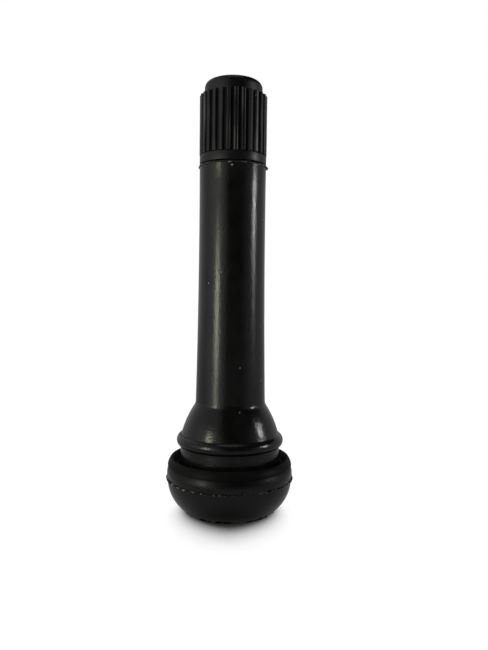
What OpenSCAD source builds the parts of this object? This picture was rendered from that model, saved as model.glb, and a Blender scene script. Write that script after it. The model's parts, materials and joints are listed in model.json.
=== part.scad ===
// Snap-in tyre valve, long type, standing on its domed rubber base.
// A turned brass stem is moulded into a rubber body. A ribbed cap screws on its end,
// and a screwed-in core with a sprung pin closes the air way.
// Every solid is centred on the Z axis. The rest plane is z = 0.

/* [Rubber base] */
// Diameter of the domed base at its seam
flange_d = 19.2; // [17.4:0.1:19.6]
// Height of the mould seam, the widest line of the domed base
seam_z = 4.9; // [4.1:0.1:5.7]
// Diameter of the flat foot that the valve stands on
foot_d = 14.4; // [12.4:0.1:15.4]
// How far the seam ridge stands out of the flange
seam_proud = 0.25; // [0.05:0.01:0.3]
// Height of the seam ridge
seam_ridge_h = 0.3; // [0.1:0.05:0.6]
// Flange wall from the seam up to the sealing lip
flange_wall_h = 2.1; // [1.5:0.05:2.6]
// Diameter over the sealing lip
lip_d = 19.36; // [19.2:0.02:20]
// Height of the rounded sealing lip
lip_h = 1.26; // [0.8:0.02:1.5]
// Diameter of the lip's crest
crest_d = 17.9; // [17.4:0.1:18]
// How far the face inside the crest is dished towards the neck
dish_depth = 0.75; // [0.3:0.05:1]
// Rounding of the crest into the dished face
crest_round = 0.2; // [0.1:0.05:0.2]
// Diameter of the air hole through the rubber foot
air_hole_d = 3.6; // [3.2:0.1:5]

/* [Rim groove] */
// Diameter of the neck that the wheel rim grips
neck_d = 15.3; // [14.7:0.1:15.7]
// Neck height from the dished face to the bead
neck_h = 2.4; // [2:0.05:3.2]
// Diameter over the retaining bead
bead_d = 16.46; // [16.1:0.02:16.8]
// Section radius of the retaining bead
bead_round = 1; // [0.9:0.02:1.2]

/* [Rubber stem] */
// Diameter where the shoulder leaves the bead
shoulder_d = 15; // [14.4:0.1:15.4]
// Height of the shoulder
shoulder_h = 4.65; // [4:0.05:6]
// How far the shoulder bulges out of a straight cone
shoulder_bulge = 0.22; // [0.1:0.01:0.6]
// Diameter of the rubber stem at the shoulder
stem_foot_d = 10.74; // [10.3:0.02:11.2]
// Hollow rounding between the shoulder and the stem
stem_foot_round = 1.5; // [0.5:0.1:1.6]
// Diameter of the rubber stem under its end lip
stem_top_d = 10.08; // [9.8:0.02:10.2]
// How far the side of the stem is hollowed between its ends
stem_hollow = 0.13; // [0.05:0.01:0.2]
// Height of the rubber body
rubber_h = 52.6; // [48:0.1:56]
// Diameter over the end lip of the rubber
end_lip_d = 10.4; // [10.3:0.05:10.8]
// Height over which the end lip flares out
end_lip_h = 1.4; // [1:0.1:1.8]
// Rounding of the end lip
end_lip_round = 0.3; // [0.1:0.05:0.5]

/* [Brass stem] */
// How far the brass stem stands out of the rubber
stem_bare_h = 8.9; // [8.6:0.1:9.2]
// Diameter over the thread that carries the cap
thread_d = 7.7; // [7.4:0.05:7.9]
// Chamfer at the end of the stem
stem_chamfer = 0.4; // [0.2:0.05:0.6]
// Thread that runs on below the top of the rubber
thread_hidden_h = 1.2; // [0.6:0.1:2]
// Diameter of the shank inside the rubber
shank_d = 7; // [6.4:0.1:7.2]
// Depth of the grip rings in the shank
ring_depth = 0.25; // [0.1:0.05:0.4]
// Width of a grip ring at its floor
ring_w = 1.1; // [0.6:0.1:1.6]
// Distance from one grip ring to the next
ring_pitch = 4; // [3:0.5:5]
// Number of grip rings
ring_count = 6; // [3:1:7]
// Diameter of the flared brass foot
brass_foot_d = 10.4; // [9:0.1:11.5]
// Thickness of the brass foot at its edge
brass_foot_h = 1.6; // [1:0.1:2.4]
// Rubber under the brass foot
foot_cover = 2.4; // [1.6:0.1:3]
// Diameter of the air passage in the stem
passage_d = 3; // [2.4:0.1:3.4]

/* [Core chamber] */
// Diameter of the chamber that takes the core's threaded plug
chamber_d = 5.24; // [5.1:0.02:5.4]
// Depth of that chamber
chamber_h = 6.2; // [5.8:0.1:6.8]
// Height of the conical seat under the chamber
seat_h = 1.2; // [0.9:0.1:1.6]
// Diameter of the bore round the core's barrel
core_bore_d = 4.1; // [4:0.05:4.4]
// Length of that bore
core_bore_h = 13.8; // [13:0.1:16]

/* [Cap] */
// Diameter of the plain collar under the ribs
cap_collar_d = 10.1; // [9.8:0.02:10.14]
// Diameter of the groove floors between the ribs
cap_groove_d = 9.46; // [9.3:0.02:9.7]
// Diameter over the ribs
cap_rib_d = 10.2; // [10.16:0.02:10.5]
// Number of ribs
rib_count = 28; // [20:1:32]
// Angle of the first rib about the axis, with the cap screwed home
rib_turn = 5.8; // [0:0.2:12]
// Width of a rib at its top
rib_top_w = 0.44; // [0.3:0.02:0.5]
// Width of a rib at its foot
rib_foot_w = 0.72; // [0.55:0.01:0.8]
// Height of the plain collar under the ribs
collar_h = 1.3; // [0.8:0.1:2]
// Height of the bevel at the upper rib ends
rib_bevel_h = 0.88; // [0.6:0.02:1.1]
// How far the rib ends stand above the groove ends at the crown
rib_end_step = 0.14; // [0.06:0.01:0.2]
// Diameter of the plain crown above the ribs
crown_d = 8.74; // [8.5:0.02:8.9]
// Height of the crown edge above the ribs
crown_h = 1.3; // [1.15:0.05:1.8]
// Rounding of the crown edge
crown_round = 0.95; // [0.3:0.05:1]
// How far the middle of the crown is domed
crown_dome = 0.2; // [0.1:0.05:0.6]
// Space between the cap's mouth and the rubber
mouth_gap = 0.15; // [0.1:0.05:0.6]
// Thickness of the sealing washer in the cap
cap_seal_t = 0.7; // [0.5:0.05:0.9]
// Ring width of that washer
cap_seal_w = 0.9; // [0.7:0.05:1]
// Depth of the recess in the cap over the core
cap_recess_h = 1.6; // [1.4:0.1:2]
// Thickness of the cap's roof over that recess
cap_roof_t = 1.4; // [1:0.1:2.2]

/* [Core] */
// Length of the threaded plug, with its bridge
plug_h = 4.4; // [4.2:0.1:4.8]
// Height of the flattened top of the plug
plug_flat_h = 1.6; // [1.2:0.1:1.9]
// Width across the flats
plug_flat_w = 2.6; // [2.2:0.1:2.8]
// Thickness of the bridge that guides the pin
bridge_t = 1.1; // [0.8:0.1:1.4]
// Depth of the plug's end below the stem's end
plug_sunk = 1.1; // [0.9:0.1:1.3]
// Diameter inside the plug
plug_bore_d = 3.1; // [2.9:0.05:3.2]
// Outer diameter of the barrel
barrel_d = 3.5; // [3.3:0.05:3.6]
// Length of the barrel below the plug
barrel_h = 9.3; // [8.8:0.1:10]
// Bore of the barrel
barrel_bore_d = 2.5; // [2.3:0.05:2.6]
// Thickness of the barrel's floor
barrel_floor_t = 1.2; // [0.8:0.1:1.6]
// Height of the sealing nose under the barrel
nose_h = 0.25; // [0.15:0.05:0.4]
// Width of that nose at its foot
nose_w = 0.5; // [0.3:0.05:0.7]
// Diameter of the collar by which the barrel hangs in the plug
swivel_d = 3.7; // [3.6:0.05:3.9]
// Thickness of that collar
swivel_t = 0.55; // [0.4:0.05:0.7]
// Lip of the plug that holds the collar
swivel_lip_t = 0.25; // [0.2:0.05:0.4]
// Length of the gasket on the barrel
gasket_h = 1.3; // [1:0.1:1.4]
// Pin diameter
pin_d = 1; // [0.8:0.05:1.1]
// Diameter of the pin's head
pin_head_d = 1.3; // [1.2:0.05:1.5]
// Length of the pin's head
pin_head_h = 2; // [1.6:0.1:2.4]
// Depth of the pin's end below the stem's end
pin_sunk = 0.4; // [0.3:0.05:0.8]
// Thickness of the collar on the pin
pin_collar_t = 0.4; // [0.3:0.05:0.6]
// Spring length at rest
spring_h = 4.8; // [4.2:0.1:5.2]
// Wire diameter of the spring
wire_d = 0.26; // [0.2:0.02:0.3]
// Turns of the spring
spring_turns = 7; // [5:1:8]
// Outer diameter of the cup
cup_d = 3.3; // [3:0.05:3.4]
// Wall of the cup
cup_wall = 0.25; // [0.2:0.05:0.35]
// Height of the cup
cup_h = 1.2; // [1:0.1:1.5]
// How far the washer stands out of the cup
washer_proud = 0.15; // [0.1:0.05:0.3]
// Riveted pin end under the cup
rivet_h = 0.3; // [0.2:0.05:0.5]

/* [Fits] */
// Radial clearance of the cap on the stem's thread
cap_fit = 0.08; // [0.04:0.01:0.1]
// Radial clearance of the plug in its chamber
plug_fit = 0.07; // [0.04:0.01:0.1]
// Clearance of small sliding and swivelling pieces
slide_fit = 0.1; // [0.06:0.01:0.12]
// Clearance between a soft seal and what it closes on
seal_fit = 0.06; // [0.04:0.01:0.1]
// Bond line between pieces that are moulded or pressed together
bond = 0.02; // [0.01:0.01:0.04]

/* [Hidden] */
// Round faces
$fn = 96;
// Points along one rounded stretch of an outline
ARC_STEPS = 10;
// Points round the spring wire and along one turn of it
WIRE_SIDES = 8;
TURN_STEPS = 18;
// Share of the wire's turns that lie flat at each end of the spring
END_TURNS = 0.75;

flange_r = flange_d / 2;
foot_r = foot_d / 2;
lip_r = lip_d / 2;
crest_r = crest_d / 2;
hole_r = air_hole_d / 2;
neck_r = neck_d / 2;
stem_foot_r = stem_foot_d / 2;
stem_top_r = stem_top_d / 2;
end_lip_r = end_lip_d / 2;

// The dome is one arc that leaves the seam upright and ends at the flat foot
dome_run = flange_r - foot_r;
dome_round = (dome_run * dome_run + seam_z * seam_z) / (2 * dome_run);
wall_top_z = seam_z + flange_wall_h;
crest_z = wall_top_z + lip_h;
neck_low_z = crest_z - dish_depth;
undercut_z = neck_low_z + neck_h;

// The bead's section circle cuts the neck below and the shoulder above
bead_mid_r = bead_d / 2 - bead_round;
bead_low_angle = -acos((neck_r - bead_mid_r) / bead_round);
bead_high_angle = acos((shoulder_d / 2 - bead_mid_r) / bead_round);
bead_z = undercut_z - bead_round * sin(bead_low_angle);
shoulder_z = bead_z + bead_round * sin(bead_high_angle);
stem_foot_z = shoulder_z + shoulder_h;

stem_h = rubber_h + stem_bare_h;
thread_r = thread_d / 2;
shank_r = shank_d / 2;
thread_end_z = rubber_h - thread_hidden_h;
brass_foot_r = brass_foot_d / 2;
brass_foot_top_z = foot_cover + brass_foot_h;
flare_top_z = brass_foot_top_z + brass_foot_r - shank_r;
ring_first_z = thread_end_z - ring_pitch;
passage_r = passage_d / 2;
chamber_r = chamber_d / 2;
core_bore_r = core_bore_d / 2;
chamber_floor_z = stem_h - chamber_h;
seat_low_z = chamber_floor_z - seat_h;
core_bore_low_z = seat_low_z - core_bore_h;

cap_low_z = rubber_h + mouth_gap;
rib_low_z = cap_low_z + collar_h;
cap_collar_r = cap_collar_d / 2;
cap_groove_r = cap_groove_d / 2;
cap_rib_r = cap_rib_d / 2;
crown_r = crown_d / 2;
cap_bore_r = thread_r + cap_fit;
seal_low_z = stem_h + seal_fit;
cap_ceiling_z = seal_low_z + cap_seal_t + bond;
seal_inner_r = thread_r - cap_seal_w;
cap_recess_z = cap_ceiling_z + cap_recess_h;
cap_top_z = cap_recess_z + cap_roof_t;
crown_edge_z = cap_top_z - crown_dome;
rib_top_z = crown_edge_z - crown_h;
groove_top_z = rib_top_z - rib_end_step;
mouth_chamfer = (cap_collar_r - cap_bore_r) / 2;
// The ribs are rooted in the wall, and overlap the collar as far as they stand out of it
rib_root_r = (cap_bore_r + crown_r) / 2;
rib_start_z = rib_low_z - (cap_rib_r - cap_collar_r);
rib_h = rib_top_z - rib_start_z;

plug_top_z = stem_h - plug_sunk;
plug_low_z = plug_top_z - plug_h;
plug_r = chamber_r - plug_fit;
plug_bore_r = plug_bore_d / 2;
bridge_low_z = plug_top_z - bridge_t;
swivel_r = swivel_d / 2;
swivel_low_z = plug_low_z + swivel_lip_t + slide_fit;
swivel_top_z = swivel_low_z + swivel_t;
swivel_neck_r = plug_bore_r - slide_fit;
barrel_r = barrel_d / 2;
barrel_top_z = plug_low_z - slide_fit;
barrel_low_z = barrel_top_z - barrel_h;
barrel_bore_r = barrel_bore_d / 2;
barrel_floor_z = barrel_low_z + barrel_floor_t;
nose_low_z = barrel_low_z - nose_h;
gasket_groove_r = (barrel_r + barrel_bore_r) / 2;
gasket_low_z = seat_low_z + seal_fit;
gasket_high_z = gasket_low_z + gasket_h;

pin_r = pin_d / 2;
pin_head_r = pin_head_d / 2;
pin_top_z = stem_h - pin_sunk;
pin_hole_r = pin_r + 2 * slide_fit;
pin_collar_low_z = barrel_floor_z + spring_h;
pin_collar_r = barrel_bore_r - 2 * slide_fit;
washer_high_z = nose_low_z - seal_fit;
cup_high_z = washer_high_z - washer_proud;
cup_low_z = cup_high_z - cup_h;
cup_r = cup_d / 2;
washer_r = cup_r - cup_wall - bond;
pin_low_z = cup_low_z - rivet_h;
rivet_r = pin_r + cup_wall;
spring_mid_r = (pin_hole_r + pin_collar_r) / 2;
nose_mid_r = (pin_hole_r + barrel_r) / 2;

RUBBER_BLACK = [0.05, 0.05, 0.053];
CAP_BLACK = [0.07, 0.07, 0.075];
SEAL_GREY = [0.16, 0.16, 0.17];
BRASS = [0.78, 0.62, 0.31];
CORE_BRASS = [0.83, 0.69, 0.4];
GASKET_RED = [0.6, 0.13, 0.1];
STEEL = [0.62, 0.63, 0.65];

// Points on an arc round a middle point, from one angle to another
function arc(mid, radius, from, to) = [
    for (i = [0:ARC_STEPS])
        let (a = from + (to - from) * i / ARC_STEPS)
            mid + radius * [cos(a), sin(a)]
];

// Points on a shallow arc from p to q that bulges to the right of that way by sag
function bow(p, q, sag) =
    let (
        way = q - p,
        chord = norm(way),
        right = [way.y, -way.x] / chord,
        radius = chord * chord / (8 * sag) + sag / 2,
        mid = (p + q) / 2 + (sag - radius) * right,
        half = asin(chord / (2 * radius)),
        facing = atan2(right.y, right.x)
    )
    arc(mid, radius, facing - half, facing + half);

// Points that round the corner at b, between a and c, with a given radius
function rounded(a, b, c, radius) =
    let (
        u = (a - b) / norm(a - b),
        v = (c - b) / norm(c - b),
        half = acos(u * v) / 2,
        middle = (u + v) / norm(u + v),
        mid = b + middle * radius / sin(half),
        start = b + u * radius / tan(half) - mid,
        end = b + v * radius / tan(half) - mid,
        from = atan2(start.y, start.x),
        turn = atan2(end.y, end.x) - from,
        sweep = turn > 180 ? turn - 360 : turn < -180 ? turn + 360 : turn
    )
    arc(mid, radius, from, from + sweep);

// Side of the brass stem inside the rubber, from its top down, grown by a gap
function shank_side(gap) = concat(
    [
        [thread_r + gap, rubber_h],
        [thread_r + gap, thread_end_z],
        [shank_r + gap, thread_end_z - (thread_r - shank_r)]
    ],
    [
        for (i = [0:ring_count - 1])
            let (z = ring_first_z - i * ring_pitch)
                each [
                    [shank_r + gap, z],
                    [shank_r + gap - ring_depth, z - ring_depth],
                    [shank_r + gap - ring_depth, z - ring_depth - ring_w],
                    [shank_r + gap, z - 2 * ring_depth - ring_w]
                ]
    ],
    [
        [shank_r + gap, flare_top_z],
        [brass_foot_r + gap, brass_foot_top_z],
        [brass_foot_r + gap, foot_cover - gap]
    ]
);

// Outside of the rubber body, from the foot up to the end lip
function rubber_side() =
    let (
        dome_mid = [flange_r - dome_round, seam_z],
        dome_from = -asin(seam_z / dome_round),
        dome_to = -asin(seam_ridge_h / 2 / dome_round),
        lip = [for (p = arc([0, 0], 1, 0, 90)) [crest_r + (lip_r - crest_r) * p.x, wall_top_z + lip_h * p.y]],
        stem_foot = [stem_foot_r, stem_foot_z],
        shoulder = bow([shoulder_d / 2, shoulder_z], stem_foot, shoulder_bulge),
        flare_low = [stem_top_r, rubber_h - end_lip_h],
        stem_side = bow(stem_foot, flare_low, -stem_hollow),
        lip_edge = [end_lip_r, rubber_h - end_lip_round],
        lip_corner = [end_lip_r, rubber_h],
        bore_edge = [thread_r + bond, rubber_h]
    )
    concat(
        arc(dome_mid, dome_round, dome_from, dome_to),
        [
            [flange_r + seam_proud, seam_z],
            [flange_r, seam_z + seam_ridge_h / 2]
        ],
        [for (i = [0:ARC_STEPS - 1]) lip[i]],
        rounded(lip[ARC_STEPS - 1], lip[ARC_STEPS], [neck_r, neck_low_z], crest_round),
        [[neck_r, neck_low_z]],
        arc([bead_mid_r, bead_z], bead_round, bead_low_angle, bead_high_angle),
        [for (i = [1:ARC_STEPS - 1]) shoulder[i]],
        rounded(shoulder[ARC_STEPS - 1], stem_foot, stem_side[1], stem_foot_round),
        [for (i = [1:ARC_STEPS]) stem_side[i]],
        rounded(lip_edge - [0, end_lip_round], lip_corner, bore_edge, end_lip_round)
    );

module rubber_body() {
    color(RUBBER_BLACK)
        rotate_extrude()
            polygon(concat(
                [[hole_r, 0]],
                rubber_side(),
                shank_side(bond),
                [[hole_r, foot_cover - bond]]
            ));
}

module brass_stem() {
    color(BRASS)
        rotate_extrude()
            polygon(concat(
                [
                    [chamber_r + stem_chamfer / 2, stem_h],
                    [thread_r - stem_chamfer, stem_h],
                    [thread_r, stem_h - stem_chamfer]
                ],
                shank_side(0),
                [
                    [passage_r, foot_cover],
                    [passage_r, core_bore_low_z - (core_bore_r - passage_r)],
                    [core_bore_r, core_bore_low_z],
                    [core_bore_r, seat_low_z],
                    [chamber_r, chamber_floor_z],
                    [chamber_r, stem_h - stem_chamfer / 2]
                ]
            ));
}

// One rib of the cap, flat on top, with its upper end bevelled by the cap module
module cap_rib() {
    translate([0, 0, rib_start_z])
        linear_extrude(rib_h)
            polygon([
                [rib_root_r, -rib_foot_w / 2],
                [cap_groove_r, -rib_foot_w / 2],
                [cap_rib_r, -rib_top_w / 2],
                [cap_rib_r, rib_top_w / 2],
                [cap_groove_r, rib_foot_w / 2],
                [rib_root_r, rib_foot_w / 2]
            ]);
}

// Ring that bevels the upper rib ends, from the crown out to the rib tops and on
module rib_bevel() {
    run = cap_rib_r - crown_r;
    rotate_extrude()
        polygon([
            [crown_r, rib_top_z + rib_bevel_h],
            [crown_r, rib_top_z],
            [cap_rib_r + run, rib_top_z - 2 * rib_bevel_h],
            [cap_rib_r + run, rib_top_z + rib_bevel_h]
        ]);
}

module cap_shell() {
    dome_r = (crown_r * crown_r + crown_dome * crown_dome) / (2 * crown_dome);
    dome = arc([0, cap_top_z - dome_r], dome_r, acos(crown_r / dome_r), 90);
    inside = floor(ARC_STEPS / 3);
    rotate_extrude()
        polygon(concat(
            [
                [cap_bore_r + mouth_chamfer, cap_low_z],
                [cap_collar_r, cap_low_z],
                [cap_collar_r, rib_low_z],
                [cap_groove_r, rib_low_z],
                [cap_groove_r, groove_top_z - (cap_groove_r - crown_r)],
                [crown_r, groove_top_z]
            ],
            rounded([crown_r, rib_top_z], dome[0], dome[inside], crown_round),
            [for (i = [inside:ARC_STEPS]) dome[i]],
            [
                [0, cap_recess_z],
                [seal_inner_r, cap_recess_z],
                [seal_inner_r, cap_ceiling_z],
                [cap_bore_r, cap_ceiling_z],
                [cap_bore_r, cap_low_z + mouth_chamfer]
            ]
        ));
}

module valve_cap() {
    color(CAP_BLACK)
        rotate(rib_turn)
            union() {
                cap_shell();
                difference() {
                    for (i = [0:rib_count - 1])
                        rotate(i * 360 / rib_count)
                            cap_rib();
                    rib_bevel();
                }
            }
}

// A ring with a square section
module ring(inner_r, outer_r, low_z, high_z) {
    rotate_extrude()
        polygon([
            [inner_r, low_z],
            [outer_r, low_z],
            [outer_r, high_z],
            [inner_r, high_z]
        ]);
}

module cap_seal() {
    color(SEAL_GREY)
        ring(seal_inner_r, thread_r, seal_low_z, seal_low_z + cap_seal_t);
}

// Threaded plug: a swivel socket below, a bore, and a bridge with a guide hole on top
module core_plug() {
    socket_r = swivel_r + slide_fit;
    socket_high_z = swivel_top_z + slide_fit;
    color(CORE_BRASS)
        difference() {
            rotate_extrude()
                polygon([
                    [plug_bore_r, plug_low_z],
                    [plug_r, plug_low_z],
                    [plug_r, plug_top_z],
                    [pin_head_r + slide_fit, plug_top_z],
                    [pin_head_r + slide_fit, bridge_low_z],
                    [plug_bore_r, bridge_low_z],
                    [plug_bore_r, socket_high_z],
                    [socket_r, socket_high_z],
                    [socket_r, plug_low_z + swivel_lip_t],
                    [plug_bore_r, plug_low_z + swivel_lip_t]
                ]);
            for (side = [0, 180])
                rotate(side)
                    translate([-plug_r, plug_flat_w / 2, plug_top_z - plug_flat_h])
                        cube([2 * plug_r, plug_r, plug_h]);
        }
}

// Barrel that hangs in the plug, with a gasket groove, a floor for the spring and a nose
module core_barrel() {
    color(CORE_BRASS)
        rotate_extrude()
            polygon([
                [pin_hole_r, barrel_low_z],
                [nose_mid_r - nose_w / 2, barrel_low_z],
                [nose_mid_r, nose_low_z],
                [nose_mid_r + nose_w / 2, barrel_low_z],
                [barrel_r, barrel_low_z],
                [barrel_r, gasket_low_z - bond],
                [gasket_groove_r, gasket_low_z - bond],
                [gasket_groove_r, gasket_high_z + bond],
                [barrel_r, gasket_high_z + bond],
                [barrel_r, barrel_top_z],
                [swivel_neck_r, barrel_top_z],
                [swivel_neck_r, swivel_low_z],
                [swivel_r, swivel_low_z],
                [swivel_r, swivel_top_z],
                [barrel_bore_r, swivel_top_z],
                [barrel_bore_r, barrel_floor_z],
                [pin_hole_r, barrel_floor_z]
            ]);
}

// Tapered gasket that closes on the conical seat
module core_gasket() {
    high_r = chamber_r - seal_fit;
    color(GASKET_RED)
        rotate_extrude()
            polygon([
                [gasket_groove_r + bond, gasket_low_z],
                [core_bore_r - seal_fit, gasket_low_z],
                [high_r, gasket_low_z + seat_h],
                [high_r - seal_fit, gasket_high_z],
                [gasket_groove_r + bond, gasket_high_z]
            ]);
}

// Height of the wire's middle after a number of turns: flat ends, even pitch between
function wire_z(turns) =
    let (
        low = barrel_floor_z + wire_d / 2,
        high = pin_collar_low_z - wire_d / 2,
        share = (turns - END_TURNS) / (spring_turns - 2 * END_TURNS)
    )
    low + (high - low) * min(max(share, 0), 1);

// Ring of points round the wire after a number of turns
function wire_ring(turns) = [
    for (k = [0:WIRE_SIDES - 1])
        let (
            a = 360 * turns,
            b = 360 * k / WIRE_SIDES,
            r = spring_mid_r + wire_d / 2 * cos(b)
        )
        [r * cos(a), r * sin(a), wire_z(turns) + wire_d / 2 * sin(b)]
];

module core_spring() {
    rings = spring_turns * TURN_STEPS;
    points = [for (i = [0:rings]) each wire_ring(i / TURN_STEPS)];
    sides = [
        for (i = [0:rings - 1], k = [0:WIRE_SIDES - 1])
            let (next = (k + 1) % WIRE_SIDES, a = i * WIRE_SIDES, b = a + WIRE_SIDES)
                each [[a + k, b + k, b + next], [a + k, b + next, a + next]]
    ];
    first_end = [for (k = [0:WIRE_SIDES - 1]) k];
    last_end = [for (k = [WIRE_SIDES - 1:-1:0]) rings * WIRE_SIDES + k];
    color(STEEL)
        polyhedron(points, concat(sides, [first_end], [last_end]));
}

// Pin with a thicker head, a collar for the spring and a riveted lower end
module core_pin() {
    head_low_z = pin_top_z - pin_head_h;
    color(CORE_BRASS)
        rotate_extrude()
            polygon([
                [0, pin_low_z],
                [rivet_r, pin_low_z],
                [rivet_r, cup_low_z - bond],
                [pin_r, cup_low_z - bond],
                [pin_r, pin_collar_low_z],
                [pin_collar_r, pin_collar_low_z],
                [pin_collar_r, pin_collar_low_z + pin_collar_t],
                [pin_r, pin_collar_low_z + pin_collar_t],
                [pin_r, head_low_z - (pin_head_r - pin_r)],
                [pin_head_r, head_low_z],
                [pin_head_r, pin_top_z - (pin_head_r - pin_r)],
                [pin_r, pin_top_z],
                [0, pin_top_z]
            ]);
}

module core_cup() {
    color(CORE_BRASS)
        rotate_extrude()
            polygon([
                [pin_r + bond, cup_low_z],
                [cup_r, cup_low_z],
                [cup_r, cup_high_z],
                [cup_r - cup_wall, cup_high_z],
                [cup_r - cup_wall, cup_low_z + cup_wall],
                [pin_r + bond, cup_low_z + cup_wall]
            ]);
}

module core_washer() {
    color(RUBBER_BLACK)
        ring(pin_r + bond, washer_r, cup_low_z + cup_wall + bond, washer_high_z);
}

rubber_body();
brass_stem();
valve_cap();
cap_seal();
core_plug();
core_barrel();
core_gasket();
core_spring();
core_pin();
core_cup();
core_washer();
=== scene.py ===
import json
import math

import bmesh
import bpy
from mathutils import Matrix, Vector, noise


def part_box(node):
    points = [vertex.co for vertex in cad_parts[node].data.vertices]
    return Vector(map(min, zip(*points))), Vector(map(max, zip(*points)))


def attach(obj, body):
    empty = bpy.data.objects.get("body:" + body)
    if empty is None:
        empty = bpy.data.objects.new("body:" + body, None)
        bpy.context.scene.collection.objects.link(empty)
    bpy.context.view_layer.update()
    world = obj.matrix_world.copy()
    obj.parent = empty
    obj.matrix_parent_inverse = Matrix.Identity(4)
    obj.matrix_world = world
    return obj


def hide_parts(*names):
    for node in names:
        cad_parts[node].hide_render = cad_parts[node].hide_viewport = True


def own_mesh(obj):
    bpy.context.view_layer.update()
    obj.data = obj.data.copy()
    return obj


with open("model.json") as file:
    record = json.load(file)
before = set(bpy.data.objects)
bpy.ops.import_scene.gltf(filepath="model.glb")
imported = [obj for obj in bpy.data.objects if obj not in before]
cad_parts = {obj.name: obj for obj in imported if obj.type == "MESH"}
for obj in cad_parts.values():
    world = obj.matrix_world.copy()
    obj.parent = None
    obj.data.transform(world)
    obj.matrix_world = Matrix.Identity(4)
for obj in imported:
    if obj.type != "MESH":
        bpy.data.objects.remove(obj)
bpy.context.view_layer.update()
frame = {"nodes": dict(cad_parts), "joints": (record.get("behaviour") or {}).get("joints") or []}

# Outlines are drawn in millimetres as (radius, height) and scaled when a piece is finished
MM = 0.001
INCH = 25.4


def tall(node):
    """Lowest and highest point of a CAD node, in millimetres."""
    low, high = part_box(node)
    return low.z / MM, high.z / MM


def wide(node):
    """Largest radius of a CAD node, in millimetres."""
    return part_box(node)[1].x / MM


def travel(joint):
    """How far a sliding joint goes, in millimetres."""
    return next(j for j in frame["joints"] if j["name"] == joint)["range_m"][1] / MM


# Mesh steps round the axis, along arcs and corners, and per turn of a thread
ROUND_STEPS = 192
BRASS_STEPS = 96
FLASH_STEPS = 720
ARC_STEPS = 12
CORNER_STEPS = 6
TURN_LEVELS = 10

# Vertices closer than this are merged, or count as lying on a wall
MERGE = 1e-4
NEAR = 1e-3

# Edges sharper than this, in degrees, are shaded as creases
CREASE = 38
BRASS_CREASE = 25
CAP_CREASE = 50

# Rubber body, from the foot up. A trim is how many points of an arc a rounded corner takes over
RUBBER_H = tall("rubber_body")[1]
SEAM_PROUD = 0.25
FLANGE_R = wide("rubber_body") - SEAM_PROUD
FOOT_R = 6.95
FOOT_ROUND = 0.5
HOLE_R = 1.8
HOLE_CHAMFER = 0.2
SEAM_Z = 4.9
DOME_END = -1.5
DOME_STEPS = 30
DOME_TRIM = 3
WALL_TOP_R = 9.45
WALL_BULGE = 0.16
CREASE_DEPTH = 0.09
CREASE_H = 0.08
LIP_R = 9.58
LIP_LOW = 7.0
LIP_H = 1.26
LIP_BULGE = 0.12
LIP_TRIM = 2
CREST_R = 8.95
CREST_ROUND = 0.15
TRENCH_R = 8.3
TRENCH_Z = 6.8
NECK_R = 7.65
NECK_FILLET = 0.3
NECK_H = 1.65
UNDERCUT_Z = LIP_LOW + LIP_H + NECK_H
BEAD_R = 8.23
BEAD_ROUND = 1.0
BEAD_STEPS = 24
SHOULDER_R = 7.5
SHOULDER_H = 4.65
SHOULDER_BULGE = 0.22
STEM_FOOT_R = 5.37
STEM_FOOT_ROUND = 1.5
STEM_TOP_R = 5.04
STEM_HOLLOW = 0.13
END_LIP_R = 5.17
END_LIP_H = 0.6
END_LIP_ROUND = 0.14
BOND = 0.02

# Flash on the seam, the end lip and the foot. Waves are (noise scale per millimetre, height), and limits
# are the least and the most that the flash stands out, as shares
FLASH_ROOT = 0.03
FLASH_T = 0.075
RING_WAVES = (0.55, 1.0), (2.6, 0.8)
RING_LIMITS = 0.12, 0.97
RING_SWAY = FLASH_T * 2.4
RING_SWAY_SCALE = 2.3
SEAM_MEAN = 0.65
SEAM_SHIFT = 0
END_FLASH_Z = 0.22
END_PROUD = 0.24
END_MEAN = 0.1
END_SHIFT = 95.4
FOOT_SPREAD = 0.35
FOOT_FLASH_H = FLASH_T * 4
FOOT_MEAN = 0.3
FOOT_WAVES = (1.1, 0.9), (3.7, 0.8)
FOOT_LIMITS = -0.2, 1.0

# Brass stem
STEM_LOW, STEM_H = tall("brass_stem")
THREAD_R = 3.85
THREAD_DEPTH = 0.44
THREAD_PITCH = INCH / 32
THREAD_SUNK = 1.2
THREAD_END_Z = RUBBER_H - THREAD_SUNK
SHANK_R = 3.5
STEM_CHAMFER = 0.4
BRASS_FOOT_R = 5.2
BRASS_FOOT_TOP = 4.0
GRIP_RINGS = 6
GRIP_PITCH = 4.0
GRIP_DEPTH = 0.25
GRIP_W = 1.1
PASSAGE_R = 1.5
CORE_BORE_R = 2.05
CORE_BORE_LOW = 40.3
CHAMBER_R = 2.62
CHAMBER_FLOOR = 55.3
CHAMBER_LOW = 54.1
GASKET_ROOM = 0.1
INNER_THREAD_LOW = tall("core_gasket")[1] + travel("core_lift") + GASKET_ROOM

# A thread's flank, in shares of half a pitch from the middle of the crest
FLANK_END = 0.8
FLANK = 0.66

# Core plug
PLUG_LOW, PLUG_TOP = tall("core_plug")
PLUG_R = 2.55
PLUG_PITCH = INCH / 36
PLUG_DEPTH = 0.34
PLUG_BORE_R = 1.55
PLUG_EDGE = 0.08
PLUG_FLAT_H = 1.6
PLUG_FLAT_W = 2.6
PLUG_FLAT_LOW = PLUG_TOP - PLUG_FLAT_H
BRIDGE_T = 1.1
PIN_HOLE_R = 0.75
SOCKET_R = 1.95
SOCKET_LIP = 0.25
SOCKET_H = 1.0
SOCKET_TOP = PLUG_LOW + SOCKET_H

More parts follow.
